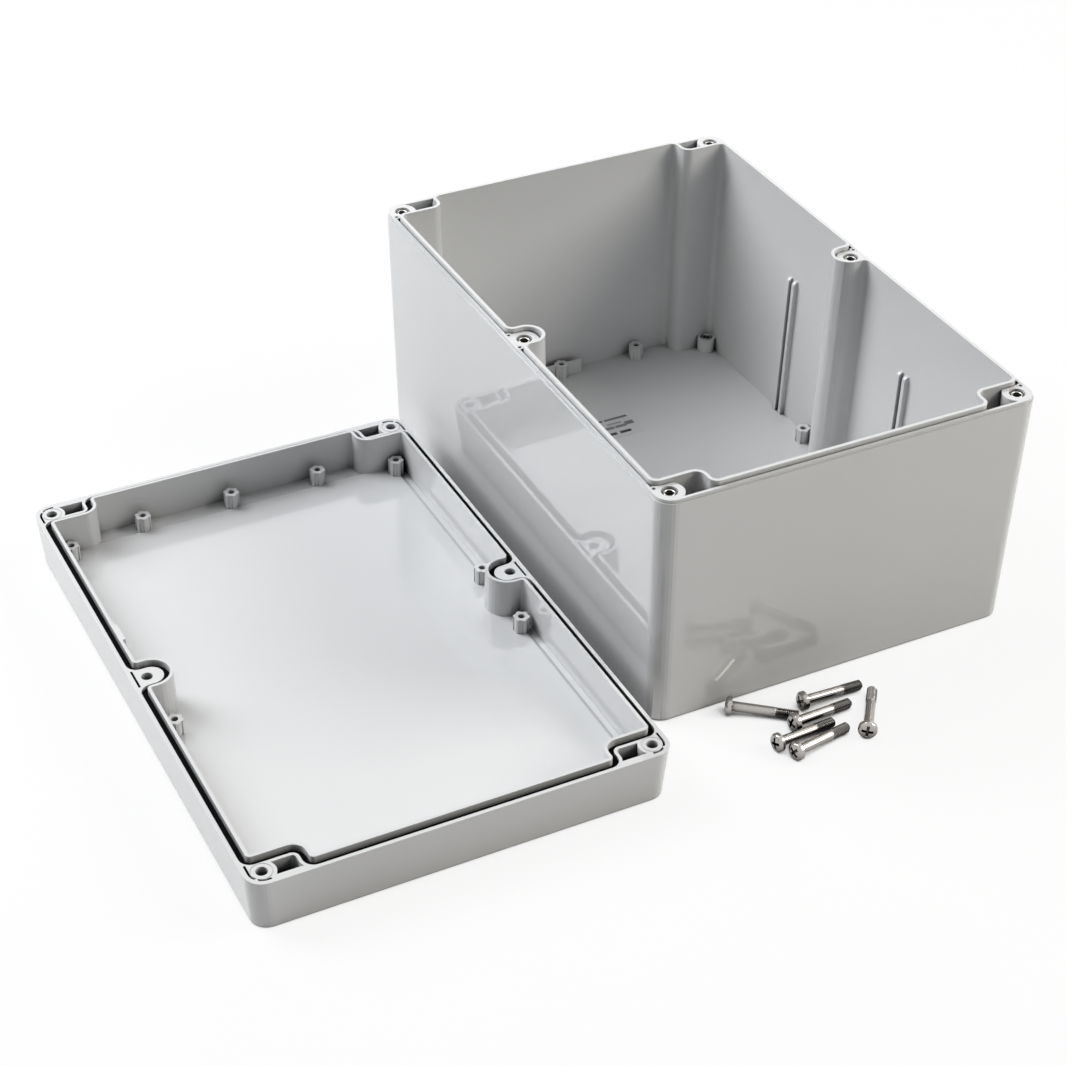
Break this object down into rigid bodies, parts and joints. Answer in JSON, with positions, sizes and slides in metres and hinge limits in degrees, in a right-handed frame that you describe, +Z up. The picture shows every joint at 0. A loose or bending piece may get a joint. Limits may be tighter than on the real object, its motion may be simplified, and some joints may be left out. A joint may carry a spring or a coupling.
{
  "type": "plastic enclosure",
  "caption": "Rectangular two-part plastic enclosure, opened: deep base with sealing tongue and corner screw channels, shallow lid with gasket, and loose lid screws.",
  "frame": {"origin": "centre of the base's underside, between the four wall holes", "axes": "+Z up out of the open base, +X along the box's length, +Y across it away from the lid"},
  "size_m": [0.2813, 0.3302, 0.1028],
  "materials": {
    "plastic": "light grey moulded ABS, semi-gloss",
    "gasket": "black soft rubber",
    "label": "pale sticker with dark bars",
    "insert": "turned threaded insert",
    "screw": "plated steel"
  },
  "bodies": {
    "root": {"base_box": "plastic", "lid": "plastic", "gasket": "gasket", "floor_label": "label", "rim_insert_1": "insert", "rim_insert_2": "insert", "rim_insert_3": "insert", "rim_insert_4": "insert", "rim_insert_5": "insert", "rim_insert_6": "insert", "floor_insert_1": "insert", "floor_insert_2": "insert", "floor_insert_3": "insert", "floor_insert_4": "insert", "lid_screw_1": "screw", "lid_screw_2": "screw", "lid_screw_3": "screw", "lid_screw_4": "screw", "lid_screw_5": "screw", "lid_screw_6": "screw"}
  },
  "joints": []
}
